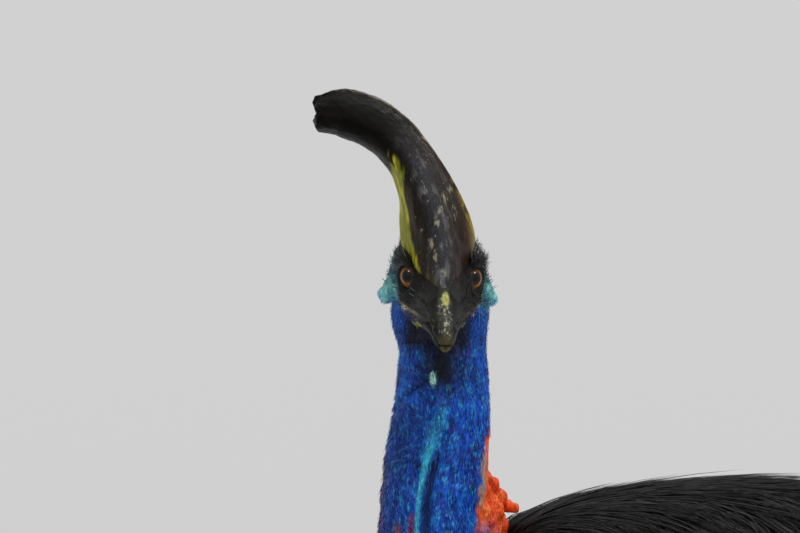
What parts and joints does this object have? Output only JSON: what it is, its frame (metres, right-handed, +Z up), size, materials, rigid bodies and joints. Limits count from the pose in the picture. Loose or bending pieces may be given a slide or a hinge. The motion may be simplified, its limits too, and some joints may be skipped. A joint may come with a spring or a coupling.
{
  "type": "southern cassowary",
  "caption": "Life-size standing southern cassowary with a tall curved casque, bare blue neck, red wattles, coarse black drooping plumage and strong scaly legs.",
  "frame": {"origin": "on the floor, under the middle of the bird's box", "axes": "+Z up; the body faces -X; the bird's left side is towards -Y, and its head is turned that way"},
  "size_m": [0.8988, 0.4316, 1.2317],
  "materials": {
    "casque_horn": "scuffed dark olive-brown horn, glossy on the front ridge",
    "face_skin": "dark wrinkled skin with turquoise on the cheeks",
    "bill_horn": "dark horn with pale scuffs on the ridge",
    "eye": "wet, orange-brown iris and black pupil",
    "neck_skin": "finely pebbled cobalt blue skin with cyan flecks",
    "red_skin": "soft, folded orange-red skin",
    "leg_scales": "grey-brown horny scales",
    "claw_horn": "dark worn horn",
    "plumage": "coarse black hair-like feathers with a faint brown sheen"
  },
  "bodies": {
    "root": {"casque": "casque_horn", "head": "face_skin", "bill_upper": "bill_horn", "bill_lower": "bill_horn", "eye_left": "eye", "eye_right": "eye", "neck_upper": "neck_skin", "neck_middle": "neck_skin", "neck_lower": "neck_skin", "nape_caruncles": "red_skin", "wattle_left": "red_skin", "wattle_right": "red_skin", "torso": "plumage", "tail": "plumage", "wing_left": "plumage", "thigh_left": "plumage", "shank_left": "leg_scales", "toe_inner_left": "leg_scales", "claw_inner_left": "claw_horn", "toe_middle_left": "leg_scales", "claw_middle_left": "claw_horn", "toe_outer_left": "leg_scales", "claw_outer_left": "claw_horn", "wing_right": "plumage", "thigh_right": "plumage", "shank_right": "leg_scales", "toe_inner_right": "leg_scales", "claw_inner_right": "claw_horn", "toe_middle_right": "leg_scales", "claw_middle_right": "claw_horn", "toe_outer_right": "leg_scales", "claw_outer_right": "claw_horn"}
  },
  "joints": []
}
